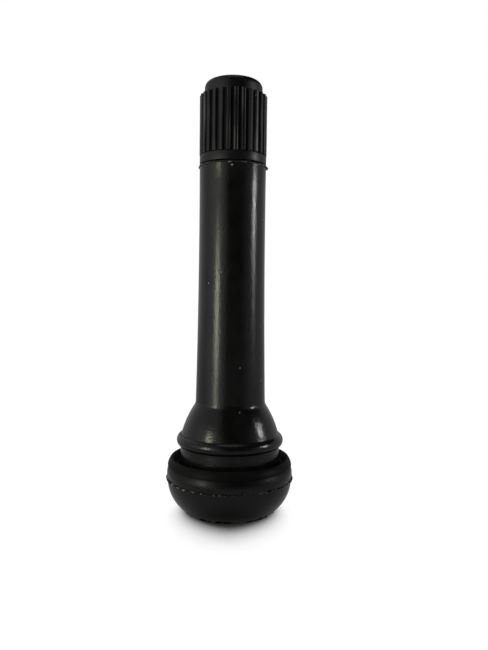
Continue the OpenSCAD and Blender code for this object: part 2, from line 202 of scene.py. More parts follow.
# Cap
CAP_LOW, CAP_TOP = tall("valve_cap")
COLLAR_R = 5.05
COLLAR_H = 1.3
COLLAR_TOP_ROUND = 0.06
COLLAR_FOOT_ROUND = 0.1
COLLAR_STEPS = 4
CROWN_R = 4.37
CROWN_H = 1.3
CROWN_ROUND = 0.95
CROWN_DOME = 0.2
CROWN_STEPS = 12
CROWN_TRIM = 4
CROWN_CREASE = 0.03
GROOVE_R = 4.73
THREAD_PLAY = 0.09
BORE_R = THREAD_R + THREAD_PLAY
BORE_CHAMFER = 0.15
BORE_PLAIN = 1.0
CAP_CEILING = 62.28
CAP_RECESS = 63.88
CAP_RECESS_R = 2.95

# Ribs of the cap, and the rows of mesh on them: how many, and how high above the ribs' foot
RIB_R = wide("valve_cap")
RIB_COUNT = 28
RIB_STEPS = 14
RIB_TURN = math.radians(5.8)
RIB_TOP_W = 0.44
RIB_FOOT_W = 0.72
RIB_SHORT = 0.75
RIB_LOW = CAP_LOW + COLLAR_H
RIB_TOP = CAP_TOP - CROWN_DOME - CROWN_H - RIB_SHORT
RIB_ROUND = 0.1
RIB_FOOT_ROUND = 0.12
RIB_END_ROWS = 8
RIB_SIDE_ROWS = 10
RIB_SIDE_LOW = 0.3
RIB_FOOT_ROWS = 3
RIB_FOOT_HIGH = 0.14
RIB_FOOT_LOW = 0.02

# Wear and a painted edge highlight on the ribs: its width as a share of half a rib, and noise that runs
# from rib to rib and along them
WEAR_W = 0.45
WEAR_MEAN = 0.12
WEAR_SWING = 1.7
WEAR_LEAST = 0.08
WEAR_PER_RIB = 1.7
WEAR_PER_MM = 0.2
WEAR_START = 0.3
WEAR_LAYER = 0.5

# Materials. Noise scales are per metre, specks are (scale, size, share of cells), bumps are (strength,
# depth in metres), and pairs run with a noise. Spans are the values of a noise that they run over
SPAN = 0.3, 0.7
SPAN_BLACK = 0.35, 0.7
SPAN_TARNISH = 0.35, 0.75
SPAN_POLISH = 0.3, 0.75
SPAN_DUST_AND_GLINT = 0.54, 0.64
GRAIN_DETAIL = 3.0
GRAIN_ROUGH = 0.55
BLACK_GLOSS = 0.3

RUBBER_BLACK = (0.0045, 0.0045, 0.0047), (0.0085, 0.0085, 0.0085)
RUBBER_DUST = 0.24, 0.24, 0.24
RUBBER_PATCHES = 420
RUBBER_FINE = 5200
RUBBER_FINE_SHARE = 0.7
RUBBER_WAVES = 3400
RUBBER_SPECKS = 620, 0.12, 0.12
RUBBER_ROUGH = 0.11, 0.18
RUBBER_BUMP = 0.8, 3.2e-5

# The matt lip: gloss and added roughness, and where it fades in by radius, from below and from above
LIP_GLOSS = 0.05
LIP_ROUGHER = 0.3
LIP_FADE_R = (NECK_R + 0.1) * MM, (NECK_R + 0.3) * MM
LIP_FADE_LOW = (LIP_LOW - 1.4) * MM, (LIP_LOW + 0.1) * MM
LIP_FADE_TOP = (LIP_LOW + LIP_H + 0.6) * MM, (LIP_LOW + LIP_H + 0.4) * MM

# Flash colours: black rubber, and a pale grey that is partly dust and partly painted glints
FLASH_BLACK_DUST_AND_GLINT = (0.006, 0.006, 0.006), (0.26, 0.26, 0.24)
FLASH_DUST_AND_GLINT_SCALE = 1700
FLASH_ROUGH = 0.3, 0.6

PLASTIC_BLACK = (0.0024, 0.0022, 0.003), (0.005, 0.0048, 0.0056)
# Pale grey of the rib edges: wear, and a painted highlight along them
PLASTIC_WORN_AND_HIGHLIGHT = 0.14, 0.14, 0.135
PLASTIC_DUST = 0.2, 0.2, 0.18
PLASTIC_PATCHES = 600
PLASTIC_FINE = 4200
PLASTIC_SPECKS = 900, 0.12, 0.14
PLASTIC_ROUGH = 0.34, 0.46
PLASTIC_BUMP = 0.5, 8e-6
GROOVE_GLOSS = 0.1

STEM_BRASS = (0.72, 0.5, 0.2), (0.5, 0.33, 0.13)
CORE_BRASS = (0.8, 0.6, 0.28), (0.6, 0.42, 0.18)
BRASS_TARNISH = 900
BRASS_LINES = 16000
BRASS_STRETCH = 0.04, 0.04, 1.0
BRASS_ROUGH = 0.2, 0.42
BRASS_BUMP = 0.3, 4e-6

SEAL_GREY = (0.03, 0.03, 0.032), (0.045, 0.045, 0.047)
GASKET_RED = (0.42, 0.03, 0.02), (0.32, 0.02, 0.015)
SOFT_GLOSS = 0.4
SOFT_PATCHES = 1500
SOFT_FINE = 9000
SOFT_ROUGH = 0.5, 0.68
SOFT_BUMP = 0.4, 6e-6

WIRE_STEEL = (0.5, 0.5, 0.52), (0.62, 0.62, 0.64)
WIRE_PATCHES = 3000
WIRE_ROUGH = 0.22, 0.36

# Floor: sizes in millimetres, the two ways in which its ambient occlusion looks for open space, and what
# it gives off where it is mirrored, in the painted shadow and in the open
FLOOR_R = 300
FLOOR_FRONT = 42
FLOOR_DROP = 0.02
FLOOR_STEPS = 96
FLOOR_PAINTED_SHADOW = 17
FLOOR_SAMPLES = 16
FLOOR_WAYS = (-0.62, 0.6, 0.5), (0.62, 0.6, 0.5)
FLOOR_OPEN = 0.4, 0.9
FLOOR_MIRRORED = 0.06, 0.3
FLOOR_PAPER = 0.1, 0.1, 0.1, 1.0

# Room: brightness of its sides, and the part of a ray's x, y or z over which each comes in
WHITE = 1.0, 1.0, 1.0
LEFT_WALL = 1.2
LEFT_WALL_FAR = 0.2
LEFT_X = -0.2, -0.65
LEFT_Y = -0.5, 0.3
RIGHT_WALL = 0.5
RIGHT_X = 0.6, 1.0
BACK_WALL = 0.4
BACK_Y = 0.0, 0.35
BACK_X = -0.6, 0.3
BACK_LEFT_SHARE = 0.28
WALL_TOP_Z = 0.5, 0.4
LEFT_HIGH = 0.5
LEFT_HIGH_X = -0.3, -0.45
LEFT_HIGH_Z = 0.93, 0.86
ZENITH = 1.0
ZENITH_Z = 0.95, 0.98
TABLE = 0.3
TABLE_Z = 0.0, -0.28
ROOM_DARK = 0.015

# Lamps: azimuth in degrees from the camera's side to the right; distance, low end, high end and width in
# millimetres; power in watts; colour
LAMPS = {
    "warm_card": (-48, 105, 20, 48, 16, 0.02, (0.95, 1.0, 0.68)),
    "warm_card_foot": (-48, 105, 2, 20, 16, 0.0062, (0.97, 1.0, 0.85)),
    "right_strip": (82, 260, 76, 125, 11, 0.15, WHITE),
    "right_strip_middle": (82, 260, 50, 76, 14, 0.018, WHITE),
    "right_strip_foot": (82, 260, 26, 50, 14, 0.009, WHITE),
}

# Camera at the photograph's place
CAMERA_AT = Vector((1.98, -93.3, 33.25)) * MM
CAMERA_DOWN = math.radians(2.9)
CAMERA_ROLL = math.radians(0.70)
SENSOR_W = 36
IMAGE_LONG_SIDE = 650
FOCAL_PIXELS = 605
CLIP_START = 0.001


# Outlines and meshes

def arc(mid, radius, start, end, steps=ARC_STEPS):
    """Points on an arc round mid, between two angles in degrees counted from outwards to up."""
    angles = [math.radians(start + (end - start) * i / steps) for i in range(steps + 1)]
    return [(mid[0] + radius * math.cos(a), mid[1] + radius * math.sin(a)) for a in angles]


def bow(p, q, sag):
    """Points on a shallow arc from p to q that bulges to the right of that way by sag."""
    way = Vector(q) - Vector(p)
    chord = way.length
    right = Vector((way.y, -way.x)) / chord
    radius = chord * chord / (8 * sag) + sag / 2
    mid = (Vector(p) + Vector(q)) / 2 + (sag - radius) * right
    half = math.degrees(math.asin(chord / (2 * radius)))
    facing = math.degrees(math.atan2(right.y, right.x))
    return arc(mid, radius, facing - half, facing + half)


def rounded(a, b, c, radius, steps=CORNER_STEPS):
    """Points that round the corner at b, between a and c."""
    corner = Vector(b)
    u = (Vector(a) - corner).normalized()
    v = (Vector(c) - corner).normalized()
    half = math.acos(max(-1, min(1, u.dot(v)))) / 2
    mid = corner + (u + v).normalized() * radius / math.sin(half)
    start = corner + u * radius / math.tan(half) - mid
    end = corner + v * radius / math.tan(half) - mid
    first = math.degrees(math.atan2(start.y, start.x))
    turn = math.degrees(math.atan2(end.y, end.x)) - first
    turn = (turn + 180) % 360 - 180
    return arc(mid, radius, first, first + turn, steps)


def levels(radius, low, high, count):
    """Points on a straight wall, so that it can take a thread or ribs."""
    return [(radius, low + (high - low) * i / count) for i in range(count + 1)]


def thread_levels(radius, low, high, pitch):
    """Points on a straight wall, close enough for a thread of this pitch."""
    turns = abs(high - low) / pitch
    return levels(radius, low, high, round(turns * TURN_LEVELS))


def turned(outline, steps, closed=True):
    """A mesh made by spinning an outline round the valve's axis. An open outline ends on the axis."""
    bm = bmesh.new()
    points = [bm.verts.new((r, 0.0, z)) for r, z in outline]
    edges = [bm.edges.new(pair) for pair in zip(points, points[1:])]
    if closed:
        edges.append(bm.edges.new((points[-1], points[0])))
    bmesh.ops.spin(
        bm, geom=points + edges, cent=(0, 0, 0), axis=(0, 0, 1),
        angle=math.tau, steps=steps, use_merge=True,
    )
    bmesh.ops.remove_doubles(bm, verts=bm.verts, dist=MERGE)
    bmesh.ops.recalc_face_normals(bm, faces=bm.faces)
    return bm


def set_radius(vert, radius):
    """Moves a vertex straight out from the axis or in to it."""
    flat = vert.co.to_2d()
    vert.co.xy = flat * (radius / flat.length)


def thread_wave(vert, pitch):
    """How high a right-handed thread stands here: 1 on its crest and 0 in its root."""
    turn = math.atan2(vert.co.y, vert.co.x) / math.tau
    share = abs((vert.co.z / pitch - turn) % 1 - 0.5) * 2
    return min(1, max(0, (FLANK_END - share) / FLANK))


def sink_thread(vert, radius, depth, pitch):
    """Cuts a thread into a wall of this radius, from the crest inwards."""
    set_radius(vert, radius - depth * (1 - thread_wave(vert, pitch)))


def finish(bm, name, body, material, stands_for=(), crease=CREASE):
    """Makes an object of a mesh in millimetres, lets it ride on a body and gives it its material."""
    for face in bm.faces:
        face.smooth = True
    for edge in bm.edges:
        edge.smooth = edge.calc_face_angle(0) < math.radians(crease)
    bmesh.ops.scale(bm, vec=(MM, MM, MM), verts=bm.verts)
    mesh = bpy.data.meshes.new(name)
    bm.to_mesh(mesh)
    bm.free()
    mesh.materials.append(material)
    piece = bpy.data.objects.new(name, mesh)
    bpy.context.scene.collection.objects.link(piece)
    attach(piece, body)
    if stands_for:
        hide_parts(*stands_for)
    return piece


# Material nodes

def add(tree, kind, links=None, **values):
    """A new node with its plain settings, its input values and its links."""
    node = tree.nodes.new("ShaderNode" + kind)
    for key, value in values.items():
        if hasattr(node, key) and key not in node.inputs:
            setattr(node, key, value)
        else:
            node.inputs[key].default_value = value
    for socket, source in (links or {}).items():
        tree.links.new(source, node.inputs[socket])
    return node


def shaded(name, **values):
    """A material with one shader, and that shader's node tree."""
    material = bpy.data.materials.new(name)
    material.use_nodes = True
    tree = material.node_tree
    tree.nodes.clear()
    shader = add(tree, "BsdfPrincipled", **values)
    add(tree, "OutputMaterial", {"Surface": shader.outputs["BSDF"]})
    return material, tree, shader


def grain(tree, coords, scale, detail=GRAIN_DETAIL):
    """Soft noise over the surface, about 1/scale metres across."""
    node = add(tree, "TexNoise", {"Vector": coords}, Scale=scale, Detail=detail, Roughness=GRAIN_ROUGH)
    return node.outputs["Fac"]


def spread(tree, source, low, high, to_low=0.0, to_high=1.0, smooth=False):
    """Maps a stretch of a value onto another, and holds it at the ends."""
    kind = "SMOOTHSTEP" if smooth else "LINEAR"
    node = add(tree, "MapRange", {"Value": source}, interpolation_type=kind)
    sockets = ("From Min", "From Max", "To Min", "To Max")
    for socket, value in zip(sockets, (low, high, to_low, to_high)):
        node.inputs[socket].default_value = value
    return node.outputs["Result"]


def math_node(tree, operation, *values):
    """One sum on one or two values or sockets."""
    node = add(tree, "Math", operation=operation)
    for socket, value in zip(node.inputs, values):
        if isinstance(value, (int, float)):
            socket.default_value = value
        else:
            tree.links.new(value, socket)
    return node.outputs["Value"]


def product(tree, first, *others):
    """All the values or sockets, multiplied."""
    for other in others:
        first = math_node(tree, "MULTIPLY", first, other)
    return first


def largest(tree, first, *others):
    """The largest of the values or sockets."""
    for other in others:
        first = math_node(tree, "MAXIMUM", first, other)
    return first


def blended(tree, factor, low, high):
    """A colour between two, each a colour or a socket."""
    node = add(tree, "Mix", data_type="RGBA")
    sockets = [s for s in node.inputs if s.type == "RGBA"]
    tree.links.new(factor, node.inputs["Factor"])
    for socket, value in zip(sockets, (low, high)):
        if isinstance(value, tuple):
            socket.default_value = (*value, 1.0)
        else:
            tree.links.new(value, socket)
    return [s for s in node.outputs if s.type == "RGBA"][0]


def feed(tree, shader, **sources):
    """Links sockets to the shader's inputs, named with underscores for spaces."""
    for name, source in sources.items():
        tree.links.new(source, shader.inputs[name.replace("_", " ")])


def dents(tree, shader, height, strength, depth):
    """Bump of a given depth in metres."""
    node = add(tree, "Bump", {"Height": height}, Strength=strength, Distance=depth)
    feed(tree, shader, Normal=node.outputs["Normal"])


def dust(tree, coords, scale, size, share):
    """Scattered specks: 1 on a speck, 0 elsewhere. Share is how many of the cells hold one."""
    cells = add(tree, "TexVoronoi", {"Vector": coords}, Scale=scale).outputs
    chance = add(tree, "SeparateColor", {"Color": cells["Color"]}).outputs
    picked = math_node(tree, "GREATER_THAN", chance["Red"], 1 - share)
    reach = product(tree, chance["Green"], size)
    near = math_node(tree, "LESS_THAN", cells["Distance"], reach)
    return product(tree, picked, near)


def lip_mask(tree, coords):
    """1 on the lip round the trench, 0 on the rest of the rubber."""
    x, y, z = add(tree, "SeparateXYZ", {"Vector": coords}).outputs
    squares = math_node(tree, "ADD", product(tree, x, x), product(tree, y, y))
    outside = spread(tree, math_node(tree, "SQRT", squares), *LIP_FADE_R)
    above = spread(tree, z, *LIP_FADE_LOW)
    below = spread(tree, z, *LIP_FADE_TOP)
    return product(tree, outside, above, below)


# Materials

def moulded_rubber():
    """Black rubber with a satin skin, a duller lip and a few specks of dust."""
    material, tree, shader = shaded("satin_black_rubber")
    coords = add(tree, "TexCoord").outputs["Object"]
    patches = grain(tree, coords, RUBBER_PATCHES)
    fine = grain(tree, coords, RUBBER_FINE, detail=2)
    waves = grain(tree, coords, RUBBER_WAVES, detail=1)
    specks = dust(tree, coords, *RUBBER_SPECKS)
    lip = lip_mask(tree, coords)
    black = blended(tree, spread(tree, patches, *SPAN_BLACK), *RUBBER_BLACK)
    satin = spread(tree, patches, *SPAN, *RUBBER_ROUGH)
    feed(
        tree, shader,
        Base_Color=blended(tree, specks, black, RUBBER_DUST),
        Roughness=math_node(tree, "ADD", satin, product(tree, lip, LIP_ROUGHER)),
        Specular_IOR_Level=spread(tree, lip, 0.0, 1.0, BLACK_GLOSS, LIP_GLOSS),
    )
    height = math_node(tree, "ADD", product(tree, fine, RUBBER_FINE_SHARE), waves)
    dents(tree, shader, height, *RUBBER_BUMP)
    return material


def torn_rubber_dust_and_glint():
    """Flash: the same rubber with pale spots that are partly dust and partly painted glints, where torn
    bits would catch light.
    """
    material, tree, shader = shaded("torn_flash_rubber_dust_and_glint", **{"Specular IOR Level": BLACK_GLOSS})
    coords = add(tree, "TexCoord").outputs["Object"]
    dust_and_glint = grain(tree, coords, FLASH_DUST_AND_GLINT_SCALE, detail=2)
    feed(
        tree, shader,
        # Pale spots on the flash: dust, and painted glints
        Base_Color=blended(tree, spread(tree, dust_and_glint, *SPAN_DUST_AND_GLINT), *FLASH_BLACK_DUST_AND_GLINT),
        Roughness=spread(tree, dust_and_glint, *SPAN, *FLASH_ROUGH),
    )
    return material


def cap_plastic():
    """Black plastic, matt in the grooves and paler on the rib edges, which the cap mesh marks for wear and
    a painted highlight.
    """
    material, tree, shader = shaded("satin_black_plastic")
    coords = add(tree, "TexCoord").outputs["Object"]
    patches = grain(tree, coords, PLASTIC_PATCHES)
    fine = grain(tree, coords, PLASTIC_FINE, detail=2)
    specks = dust(tree, coords, *PLASTIC_SPECKS)
    worn_and_highlit = add(tree, "Attribute", attribute_name="worn_and_highlit").outputs["Fac"]
    matt = add(tree, "Attribute", attribute_name="matt").outputs["Fac"]
    black = blended(tree, spread(tree, patches, *SPAN_BLACK), *PLASTIC_BLACK)
    # Rib edges paler: wear and a painted highlight
    rubbed_and_highlit = blended(tree, worn_and_highlit, black, PLASTIC_WORN_AND_HIGHLIGHT)
    feed(
        tree, shader,
        Base_Color=blended(tree, specks, rubbed_and_highlit, PLASTIC_DUST),
        Roughness=spread(tree, patches, *SPAN, *PLASTIC_ROUGH),
        Specular_IOR_Level=spread(tree, matt, 0.0, 1.0, BLACK_GLOSS, GROOVE_GLOSS),
    )
    dents(tree, shader, fine, *PLASTIC_BUMP)
    return material


def turned_brass(name, colours):
    """Brass with fine lines round the axis and patches of tarnish."""
    material, tree, shader = shaded(name, Metallic=1.0)
    coords = add(tree, "TexCoord").outputs["Object"]
    along = add(tree, "Mapping", {"Vector": coords}, Scale=BRASS_STRETCH).outputs["Vector"]
    lines = grain(tree, along, BRASS_LINES, detail=2)
    tarnish = grain(tree, coords, BRASS_TARNISH)
    feed(
        tree, shader,
        Base_Color=blended(tree, spread(tree, tarnish, *SPAN_TARNISH), *colours),
        Roughness=spread(tree, tarnish, *SPAN_POLISH, *BRASS_ROUGH),
    )
    dents(tree, shader, lines, *BRASS_BUMP)
    return material


def soft_rubber(name, colours):
    """Dull rubber of the seals."""
    material, tree, shader = shaded(name, **{"Specular IOR Level": SOFT_GLOSS})
    coords = add(tree, "TexCoord").outputs["Object"]
    patches = grain(tree, coords, SOFT_PATCHES)
    fine = grain(tree, coords, SOFT_FINE, detail=2)
    feed(
        tree, shader,
        Base_Color=blended(tree, spread(tree, patches, *SPAN), *colours),
        Roughness=spread(tree, patches, *SPAN, *SOFT_ROUGH),
    )
    dents(tree, shader, fine, *SOFT_BUMP)
    return material


def drawn_wire():
    """Steel of the spring."""
    material, tree, shader = shaded("drawn_steel_wire", Metallic=1.0)
    coords = add(tree, "TexCoord").outputs["Object"]
    patches = grain(tree, coords, WIRE_PATCHES)
    feed(
        tree, shader,
        Base_Color=blended(tree, spread(tree, patches, *SPAN), *WIRE_STEEL),
        Roughness=spread(tree, patches, *SPAN, *WIRE_ROUGH),
    )
    return material


rubber = moulded_rubber()
flash_rubber = torn_rubber_dust_and_glint()
plastic = cap_plastic()
stem_brass = turned_brass("turned_stem_brass", STEM_BRASS)
core_brass = turned_brass("turned_core_brass", CORE_BRASS)
seal_rubber = soft_rubber("grey_seal_rubber", SEAL_GREY)
gasket_rubber = soft_rubber("red_gasket_rubber", GASKET_RED)
wire = drawn_wire()


# Rubber body: one smooth turned shape from the foot to the end lip, hollow round the brass

def stem_side_inside(gap):
    """Side of the brass inside the rubber, from the top down, grown by a gap."""
    side = [
        (THREAD_R + gap, RUBBER_H),
        (THREAD_R + gap, THREAD_END_Z),
        (SHANK_R + gap, THREAD_END_Z - (THREAD_R - SHANK_R)),
    ]
    for i in range(GRIP_RINGS):
        z = THREAD_END_Z - (i + 1) * GRIP_PITCH
        side += [
            (SHANK_R + gap, z),
            (SHANK_R + gap - GRIP_DEPTH, z - GRIP_DEPTH),
            (SHANK_R + gap - GRIP_DEPTH, z - GRIP_DEPTH - GRIP_W),
            (SHANK_R + gap, z - 2 * GRIP_DEPTH - GRIP_W),
        ]
    return side + [
        (SHANK_R + gap, BRASS_FOOT_TOP + BRASS_FOOT_R - SHANK_R),
        (BRASS_FOOT_R + gap, BRASS_FOOT_TOP),
        (BRASS_FOOT_R + gap, STEM_LOW - gap),
    ]


def foot_outline():
    """The foot from the air hole out, and the dome up to the seam."""
    run = FLANGE_R - FOOT_R
    radius = (run ** 2 + SEAM_Z ** 2) / (2 * run)
    start = -math.degrees(math.asin(SEAM_Z / radius))
    dome = arc((FLANGE_R - radius, SEAM_Z), radius, start, DOME_END, DOME_STEPS)
    outline = [(HOLE_R, STEM_LOW - BOND), (HOLE_R, HOLE_CHAMFER), (HOLE_R + HOLE_CHAMFER, 0)]
    outline += rounded((HOLE_R, 0), dome[0], dome[DOME_TRIM + 1], FOOT_ROUND)
    return outline + dome[DOME_TRIM:]


def lip_outline():
    """The lip from its crease up to the crest, and the trench inside it down to the neck."""
    crest = (CREST_R, LIP_LOW + LIP_H)
    side = bow((LIP_R, LIP_LOW), crest, LIP_BULGE)
    trench = (TRENCH_R, TRENCH_Z)
    neck_foot = (NECK_R, TRENCH_Z)
    outline = side[:-LIP_TRIM] + rounded(side[-LIP_TRIM - 1], crest, trench, CREST_ROUND)
    outline += rounded(crest, trench, neck_foot, NECK_FILLET)
    return outline + rounded(trench, neck_foot, (NECK_R, UNDERCUT_Z), NECK_FILLET)


def stem_rubber_outline():
    """The bead above the neck, the shoulder, the hollow side of the stem and the end lip."""
    bead_mid_r = BEAD_R - BEAD_ROUND
    bead_low = -math.degrees(math.acos((NECK_R - bead_mid_r) / BEAD_ROUND))
    bead_high = math.degrees(math.acos((SHOULDER_R - bead_mid_r) / BEAD_ROUND))
    bead_z = UNDERCUT_Z - BEAD_ROUND * math.sin(math.radians(bead_low))
    shoulder_z = bead_z + BEAD_ROUND * math.sin(math.radians(bead_high))
    stem_foot = (STEM_FOOT_R, shoulder_z + SHOULDER_H)
    shoulder = bow((SHOULDER_R, shoulder_z), stem_foot, SHOULDER_BULGE)
    stem_side = bow(stem_foot, (STEM_TOP_R, RUBBER_H - END_LIP_H), -STEM_HOLLOW)
    lip_edge = (END_LIP_R, RUBBER_H - 2 * END_LIP_ROUND)
    lip_corner = (END_LIP_R, RUBBER_H)
    bore_edge = (THREAD_R + BOND, RUBBER_H)
    outline = arc((bead_mid_r, bead_z), BEAD_ROUND, bead_low, bead_high, BEAD_STEPS)
    outline += shoulder[1:-1]
    outline += rounded(shoulder[-2], stem_foot, stem_side[1], STEM_FOOT_ROUND)
    outline += stem_side[1:]
    return outline + rounded(lip_edge, lip_corner, bore_edge, END_LIP_ROUND)


def rubber_outline():
    """The whole section of the rubber, round the outside and back down inside."""
    outline = foot_outline()
    outline += bow((FLANGE_R, SEAM_Z), (WALL_TOP_R, LIP_LOW - CREASE_H), WALL_BULGE)
    outline += [(WALL_TOP_R - CREASE_DEPTH, LIP_LOW)]
    outline += lip_outline()
    outline += stem_rubber_outline()
    return outline + stem_side_inside(BOND)


finish(
    turned(rubber_outline(), ROUND_STEPS), "moulded_rubber_body", "stem", rubber,
    stands_for=["rubber_body"],
)


# Ragged flash that the mould left along the seam, on the end lip and round the foot

def ragged(spot, mean, waves, limits):
    """How far the flash stands out at a spot, as a share."""
    reach = mean + sum(height * noise.noise(spot * scale) for scale, height in waves)
    least, most = limits
    return min(most, max(least, reach))


def flash_ring(radius, height, proud, mean, shift):
    """A thin ring that stands out of the rubber by up to proud. Shift moves it through the noise."""
    outline = [
        (radius - FLASH_ROOT, height - FLASH_T),
        (radius + FLASH_ROOT, height - FLASH_T / 2),
        (radius + FLASH_ROOT, height + FLASH_T / 2),
        (radius - FLASH_ROOT, height + FLASH_T),
    ]
    bm = turned(outline, FLASH_STEPS)
    for vert in bm.verts:
        if vert.co.to_2d().length > radius:
            spot = vert.co + Vector((0, 0, shift))
            set_radius(vert, radius + proud * ragged(spot, mean, RING_WAVES, RING_LIMITS))
            vert.co.z += RING_SWAY * noise.noise(vert.co * RING_SWAY_SCALE)
    return bm


def foot_flash():
    """Crumbs that lie on the floor round the foot."""
    outline = [
        (FOOT_R - FOOT_SPREAD, 0),
        (FOOT_R, 0),
        (FOOT_R, FLASH_T),
        (FOOT_R - FOOT_ROUND / 2, FOOT_FLASH_H),
        (FOOT_R - FOOT_SPREAD, FLASH_T),
    ]
    bm = turned(outline, FLASH_STEPS)
    for vert in bm.verts:
        if vert.co.to_2d().length > FOOT_R - BOND:
            tear = ragged(vert.co.xy.to_3d(), FOOT_MEAN, FOOT_WAVES, FOOT_LIMITS)
            set_radius(vert, FOOT_R + FOOT_SPREAD * tear)
    return bm


seam_flash = flash_ring(FLANGE_R, SEAM_Z, SEAM_PROUD, SEAM_MEAN, SEAM_SHIFT)
end_flash = flash_ring(END_LIP_R, RUBBER_H - END_FLASH_Z, END_PROUD, END_MEAN, END_SHIFT)
finish(seam_flash, "seam_flash", "stem", flash_rubber)
finish(end_flash, "end_flash", "stem", flash_rubber)
finish(foot_flash(), "foot_flash", "stem", rubber)


# Brass stem, with the cap's thread outside and the core's thread in its mouth

def stem_outline():
    """The section of the brass, down the outside and back up the air passage."""
    mouth_z = STEM_H - STEM_CHAMFER / 2
    outline = [(CHAMBER_R + STEM_CHAMFER / 2, STEM_H), (THREAD_R - STEM_CHAMFER, STEM_H)]
    outline += thread_levels(THREAD_R, STEM_H - STEM_CHAMFER, THREAD_END_Z, THREAD_PITCH)
    outline += stem_side_inside(0)[2:]
    outline += [
        (PASSAGE_R, STEM_LOW),
        (PASSAGE_R, CORE_BORE_LOW - (CORE_BORE_R - PASSAGE_R)),
        (CORE_BORE_R, CORE_BORE_LOW),
        (CORE_BORE_R, CHAMBER_LOW),
    ]
    return outline + thread_levels(CHAMBER_R, CHAMBER_FLOOR, mouth_z, PLUG_PITCH)


def cut_stem_threads(bm):
    """Cuts the cap's thread outside, and the core's thread above the gasket's travel."""
    for vert in bm.verts:
        radius = vert.co.to_2d().length
        if abs(radius - THREAD_R) < NEAR and vert.co.z > THREAD_END_Z + THREAD_PITCH / 2:
            sink_thread(vert, THREAD_R, THREAD_DEPTH, THREAD_PITCH)
        if abs(radius - CHAMBER_R) < NEAR and vert.co.z > INNER_THREAD_LOW:
            sink_thread(vert, CHAMBER_R, PLUG_DEPTH, PLUG_PITCH)


stem_mesh = turned(stem_outline(), BRASS_STEPS)
cut_stem_threads(stem_mesh)
finish(
    stem_mesh, "threaded_brass_stem", "stem", stem_brass,
    stands_for=["brass_stem"], crease=BRASS_CREASE,
)


# Cap: ribs outside, a thread inside that follows the stem's, and a recess for the core

def cap_outline():
    """The section of the cap, from the top of its dome down the outside and back up the bore."""
    dome_r = (CROWN_R ** 2 + CROWN_DOME ** 2) / (2 * CROWN_DOME)
    edge = math.degrees(math.acos(CROWN_R / dome_r))
    dome = arc((0, CAP_TOP - dome_r), dome_r, 90, edge)
    crown_foot = (CROWN_R, RIB_TOP + CROWN_CREASE)
    collar_top = (COLLAR_R, RIB_LOW)
    collar_foot = (COLLAR_R, CAP_LOW)
    outline = dome[:-CROWN_TRIM]
    outline += rounded(dome[-CROWN_TRIM - 1], dome[-1], crown_foot, CROWN_ROUND, CROWN_STEPS)
    outline += [crown_foot]
    outline += levels(GROOVE_R, RIB_TOP, RIB_TOP - 2 * RIB_ROUND, RIB_END_ROWS)
    outline += levels(GROOVE_R, RIB_TOP - 4 * RIB_ROUND, RIB_LOW + RIB_SIDE_LOW, RIB_SIDE_ROWS)
    outline += levels(GROOVE_R, RIB_LOW + RIB_FOOT_HIGH, RIB_LOW + RIB_FOOT_LOW, RIB_FOOT_ROWS)
    outline += rounded((GROOVE_R, RIB_LOW), collar_top, collar_foot, COLLAR_TOP_ROUND, COLLAR_STEPS)
    outline += rounded(collar_top, collar_foot, (BORE_R, CAP_LOW), COLLAR_FOOT_ROUND, COLLAR_STEPS)
    outline += [(BORE_R + BORE_CHAMFER, CAP_LOW)]
    outline += thread_levels(BORE_R, CAP_LOW + BORE_CHAMFER, CAP_CEILING, THREAD_PITCH)
    return outline + [(CAP_RECESS_R, CAP_CEILING), (CAP_RECESS_R, CAP_RECESS), (0, CAP_RECESS)]


def rib_off(angle):
    """How far an angle is from the middle of the nearest rib."""
    pitch = math.tau / RIB_COUNT
    return abs((angle - RIB_TURN + pitch / 2) % pitch - pitch / 2)


def rib_share(angle):
    """How far a rib stands up at an angle: 1 on its top, 0 in the groove, with rounded corners."""
    top = RIB_TOP_W / 2 / RIB_R
    foot = RIB_FOOT_W / 2 / GROOVE_R
    share = min(1, max(0, (foot - rib_off(angle)) / (foot - top)))
    return share * share * (3 - 2 * share)


def rib_edge(z):
    """Outer radius of the ribs at a height: rounded at the collar and, less, at their square tops."""
    start = math.sqrt(min(1, (z - RIB_LOW) / RIB_FOOT_ROUND))
    corner = min(1, max(0, 1 - (RIB_TOP - z) / RIB_ROUND))
    return GROOVE_R + (RIB_R - GROOVE_R) * start - RIB_ROUND * (1 - math.sqrt(1 - corner * corner))


def rib_wear_and_highlight(angle, z):
    """How pale a rib's edges are here, between 0 and 1: wear from handling, and a painted highlight along
    them.
    """
    corner = RIB_TOP_W / 2 / RIB_R
    on_edge = max(0, 1 - abs(rib_off(angle) - corner) / (WEAR_W * corner))
    rib = round((angle - RIB_TURN) / math.tau * RIB_COUNT)
    spot = Vector((rib * WEAR_PER_RIB + WEAR_START, z * WEAR_PER_MM, WEAR_LAYER))
    worn_and_highlit = WEAR_MEAN + WEAR_SWING * noise.noise(spot)
    return on_edge * min(1, max(WEAR_LEAST, worn_and_highlit))


def shape_cap(bm):
    """Raises the ribs, cuts the thread inside and marks the matt grooves and the pale rib edges of wear
    and painted highlight.
    """
    worn_and_highlit = bm.verts.layers.float.new("worn_and_highlit")
    matt = bm.verts.layers.float.new("matt")
    for vert in bm.verts:
        radius = vert.co.to_2d().length
        z = vert.co.z
        if abs(radius - GROOVE_R) < NEAR and RIB_LOW < z < RIB_TOP + NEAR:
            angle = math.atan2(vert.co.y, vert.co.x)
            share = rib_share(angle)
            set_radius(vert, radius + share * (rib_edge(z) - radius))
            vert[matt] = 1 - share
            vert[worn_and_highlit] = rib_wear_and_highlight(angle, z)
        if abs(radius - BORE_R) < NEAR and CAP_LOW + BORE_PLAIN < z < CAP_CEILING - THREAD_PITCH / 2:
            sink_thread(vert, BORE_R, THREAD_DEPTH, THREAD_PITCH)


